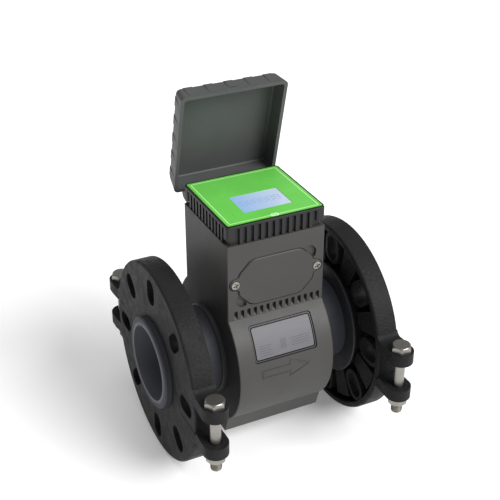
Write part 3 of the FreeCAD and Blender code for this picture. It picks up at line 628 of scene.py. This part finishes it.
class FLOW_OT_display(bpy.types.Operator):
    """Green face plate with its line, sign and painted shadow line round its edge, and the display
    glass
    """
    bl_idname = "flow.display"
    bl_label = "Finish display"

    def execute(self, context):
        colours, sizes = settings()
        # Polyester film printed from behind: a flat, strong green under a soft gloss.
        film = moulded("back_printed_polyester_film", colours.face, rough=0.3, grain_mm=1.0,
                       bump_um=4, spread=0.05, gloss_spread=0.04)
        finish_node("display_faceplate", film)
        finish_node("lcd_module", self.glass(colours.glass))
        front = FACE_LOW[1] + LINE_INSET
        line = bmesh.new()
        flat_patch(line, rectangle(FACE_LOW[0] + LINE_INSET, FACE_HIGH[0] - LINE_INSET,
                                   front, FACE_HIGH[1] - LINE_INSET),
                   sizes.print_depth, LINE_CORNER, sizes.face_line, FACE_HIGH[2])
        # Screen ink in pale green: a thin, even line, a little duller than the film.
        to_object(line, "face_border_line", "meter",
                  moulded("pale_green_screen_ink", colours.face_line, rough=0.35, grain_mm=1.0,
                          bump_um=2, spread=0.02, gloss_spread=0.02))
        sign = bmesh.new()
        flat_patch(sign, rectangle(-SIGN_HALF, SIGN_HALF, front - SIGN_FRONT,
                                   front + SIGN_BACK),
                   sizes.print_depth * 2, SIGN_CORNER, SIGN_LINE, FACE_HIGH[2])
        # Screen ink in opaque white: the brightest mark on the plate, and flat.
        to_object(sign, "face_sign", "meter",
                  moulded("white_screen_ink", colour("E9F2E6"), rough=0.4, grain_mm=1.0,
                          bump_um=2, spread=0.02, gloss_spread=0.02))
        edge = bmesh.new()
        flat_patch(edge, rectangle(FACE_LOW[0] - SHADOW_LINE_PROUD, FACE_HIGH[0] + SHADOW_LINE_PROUD,
                                   FACE_LOW[1] - SHADOW_LINE_PROUD, FACE_HIGH[1] + SHADOW_LINE_PROUD),
                   FACE_HIGH[2] - FACE_LOW[2] + sizes.print_depth, SHADOW_LINE_CORNER, SHADOW_LINE_WIDTH,
                   FACE_LOW[2])
        # Painted shadow: a dark green line round the plate's edge stands in for the shade where the
        # plate meets the head.
        to_object(edge, "face_painted_shadow_line", "meter",
                  moulded("painted_shadow_round_face_plate", colour("14240F"), rough=0.5, grain_mm=1.0,
                          bump_um=2, specular=0.1))
        self.segments()
        return {"FINISHED"}

    def segments(self):
        """Seven-segment figures of the resting display."""
        bars = bmesh.new()
        reach = FIGURE_HEIGHT / 4 - BAR * 0.7
        for i in range(FIGURES):
            x = FIGURE_MIDDLE[0] + (i - (FIGURES - 1) / 2) * FIGURE_STEP
            y = FIGURE_MIDDLE[1]
            for level in (y - FIGURE_HEIGHT / 2, y, y + FIGURE_HEIGHT / 2):
                flat_patch(bars, rectangle(x - FIGURE_WIDTH / 2 + BAR, x + FIGURE_WIDTH / 2 - BAR,
                                           level - BAR / 2, level + BAR / 2),
                           BAR_DEPTH, height=GLASS_TOP)
            for middle in (x - FIGURE_WIDTH / 2, x + FIGURE_WIDTH / 2):
                for level in (y - FIGURE_HEIGHT / 4, y + FIGURE_HEIGHT / 4):
                    flat_patch(bars, rectangle(middle - BAR / 2, middle + BAR / 2,
                                               level - reach, level + reach),
                               BAR_DEPTH, height=GLASS_TOP)
        # Unlit liquid-crystal film: a shade darker than the glass, so it only just shows.
        to_object(bars, "display_segments", "meter",
                  moulded("unlit_liquid_crystal_film", colour("86A6CE"), rough=0.2,
                          grain_mm=1.0, bump_um=1))

    def glass(self, value):
        # Liquid crystal behind polished glass: pale blue with a clear, smooth gloss, and a painted
        # reflection that fades it lighter to the right.
        material, tree, principled, place = new_material(
            "polished_liquid_crystal_glass", {"Roughness": 0.12, "IOR": 1.52})
        split = add(tree, "ShaderNodeSeparateXYZ", links={0: place})
        across = add(tree, "ShaderNodeMapRange",
                     {"From Min": -PAINTED_REFLECTION_REACH, "From Max": PAINTED_REFLECTION_REACH},
                     {"Value": split.outputs["X"]})
        painted_reflection = ramp(tree, across.outputs["Result"], value, colour("BBCBE1"), 0.0, 0.8)
        tree.links.new(painted_reflection, principled.inputs["Base Color"])
        return material


class FLOW_OT_name_plate(bpy.types.Operator):
    """Data plate on the drum, with its ruled lines and the painted shadow round it"""
    bl_idname = "flow.name_plate"
    bl_label = "Finish data plate"

    def execute(self, context):
        colours, sizes = settings()
        # Brushed aluminium under matt lacquer: a dull silver with faint lines along it,
        # and no mirror, so it is not set as metallic.
        material, tree, principled, place = new_material("lacquered_brushed_aluminium", {
            "Metallic": 0.0, "Roughness": 0.45, "Specular IOR Level": 0.2})
        brushed = add(tree, "ShaderNodeMapping", {"Scale": BRUSHING}, {"Vector": place})
        strokes = add(tree, "ShaderNodeTexNoise", {"Scale": 1.0, "Detail": 2.0},
                      {"Vector": brushed.outputs["Vector"]}).outputs["Fac"]
        tint = ramp(tree, strokes, shade(colours.plate, 0.92), shade(colours.plate, 1.06))
        tree.links.new(tint, principled.inputs["Base Color"])
        finish_node("name_plate", material)
        self.rules(sizes.print_depth)
        self.painted_rings()
        return {"FINISHED"}

    def rules(self, depth):
        """Two columns of ruled lines, and tick boxes between them."""
        rules = bmesh.new()
        for row in range(LEFT_RULES):
            y = PLATE_R * math.radians(LEFT_RULES_FROM) + row * RULE_STEP
            end = LEFT_RULES_X[1] - row % 2 * LEFT_RULES_STAGGER
            flat_patch(rules, rectangle(LEFT_RULES_X[0], end, y, y + RULE_WIDTH), depth)
        for row in range(RIGHT_RULES):
            y = PLATE_R * math.radians(RIGHT_RULES_FROM) + row * RULE_STEP
            flat_patch(rules, rectangle(*RIGHT_RULES_X, y, y + RULE_WIDTH), depth)
            flat_patch(rules, rectangle(*TICK_BOX_X, y, y + TICK_BOX_HIGH), depth,
                       line=TICK_BOX_LINE)
        wrap_on_drum(rules, PLATE_R)
        # Ink printed on the plate: flat, dark grey and even.
        ink = moulded("dark_grey_plate_ink", colour("3C3C3E"), rough=0.5, grain_mm=1.0,
                      bump_um=1)
        to_object(rules, "plate_rules", "meter", ink)

    def painted_rings(self):
        """Two dark rings of painted shadow round the plate, one inside the other."""
        painted_rings = bmesh.new()
        for half_x, low, high, corner, line in PLATE_SHADOW_RINGS:
            flat_patch(painted_rings, rectangle(-half_x, half_x, PLATE_SHADOW_R * math.radians(low),
                                       PLATE_SHADOW_R * math.radians(high)),
                       PLATE_SHADOW_DEPTH, corner, line, -PLATE_SHADOW_SUNK)
        wrap_on_drum(painted_rings, PLATE_SHADOW_R)
        # Painted shadow: a dull black outline in place of the shade at the plate's recess and edge,
        # that takes no highlight.
        shadow_paint = moulded("painted_shadow_round_data_plate", colour("0C0C0D"), rough=0.6, grain_mm=1.0,
                          bump_um=20, specular=0.05)
        to_object(painted_rings, "plate_painted_shadow_rings", "meter", shadow_paint)


class FLOW_OT_arrow(bpy.types.Operator):
    """Raised outline of the flow arrow on the drum's front"""
    bl_idname = "flow.arrow"
    bl_label = "Make flow arrow"

    def execute(self, context):
        _, sizes = settings()
        middle = ARROW_MIDDLE
        corners = [(ARROW_TAIL, middle - ARROW_SHAFT), (ARROW_NECK, middle - ARROW_SHAFT),
                   (ARROW_NECK, middle - ARROW_HEAD), (ARROW_TIP, middle),
                   (ARROW_NECK, middle + ARROW_HEAD), (ARROW_NECK, middle + ARROW_SHAFT),
                   (ARROW_TAIL, middle + ARROW_SHAFT)]
        arrow = bmesh.new()
        flat_patch(arrow, corners, sizes.arrow_height + ARROW_SUNK, line=sizes.arrow_line,
                   height=-ARROW_SUNK)
        wrap_on_drum(arrow, DRUM_R)
        to_object(arrow, "flow_arrow", "meter", bpy.data.materials["moulded_abs_grey"],
                  smooth_degrees=35)
        return {"FINISHED"}


class FLOW_OT_inner_parts(bpy.types.Operator):
    """Magnet, electronics and battery inside the housing"""
    bl_idname = "flow.inner_parts"
    bl_label = "Finish inner parts"

    def execute(self, context):
        # Stamped mild steel: a cool mid grey metal with a soft sheen.
        steel = metal("stamped_mild_steel", colour("8A8A8C"), rough=0.4, grain_mm=0.8)
        # Enamelled copper wire, wound: a warm brown metal with a varnished gloss.
        copper = metal("enamelled_copper_winding", colour("B5713C"), rough=0.35, grain_mm=0.4)
        # Solder resist cured on glass fibre: a smooth dark green.
        board = moulded("cured_solder_resist", colour("1F5A33"), rough=0.4, grain_mm=1.0,
                        bump_um=6)
        # Shrunk vinyl sleeve: a glossy dark blue.
        wrap = moulded("shrunk_vinyl_sleeve", colour("23407A"), rough=0.3, grain_mm=1.0,
                       bump_um=6)
        # Moulded nylon: a dull black.
        black = moulded("moulded_black_nylon", colour("26272A"), rough=0.5, grain_mm=0.8,
                        bump_um=20)
        for level in UPPER_LOWER:
            finish_node("pole_shoe_" + level, steel)
            finish_node("coil_" + level, copper)
        finish_node("magnet_yoke", steel)
        finish_node("circuit_board", board)
        finish_node("battery_pack", wrap)
        finish_node("terminal_block", black)
        return {"FINISHED"}


STEPS = (FLOW_OT_stage, FLOW_OT_housing, FLOW_OT_tube, FLOW_OT_flanges, FLOW_OT_fasteners,
         FLOW_OT_display, FLOW_OT_name_plate, FLOW_OT_arrow, FLOW_OT_inner_parts)


class FLOW_PT_panel(bpy.types.Panel):
    """Lists the finisher's steps"""
    bl_label = "Flow Meter"
    bl_idname = "FLOW_PT_panel"
    bl_space_type = "VIEW_3D"
    bl_region_type = "UI"
    bl_category = "Flow Meter"

    def draw(self, context):
        for step in STEPS:
            self.layout.operator(step.bl_idname)


CLASSES = (FlowMeterColours, FlowMeterSizes) + STEPS + (FLOW_PT_panel,)


def register():
    for item in CLASSES:
        bpy.utils.register_class(item)
    bpy.types.Scene.flow_meter_colours = bpy.props.PointerProperty(type=FlowMeterColours)
    bpy.types.Scene.flow_meter_sizes = bpy.props.PointerProperty(type=FlowMeterSizes)


def unregister():
    del bpy.types.Scene.flow_meter_sizes
    del bpy.types.Scene.flow_meter_colours
    for item in reversed(CLASSES):
        bpy.utils.unregister_class(item)


def main():
    """Registers the add-on and runs its steps in order."""
    register()
    for step in STEPS:
        group, name = step.bl_idname.split(".")
        getattr(getattr(bpy.ops, group), name)()


if __name__ == "__main__":
    main()
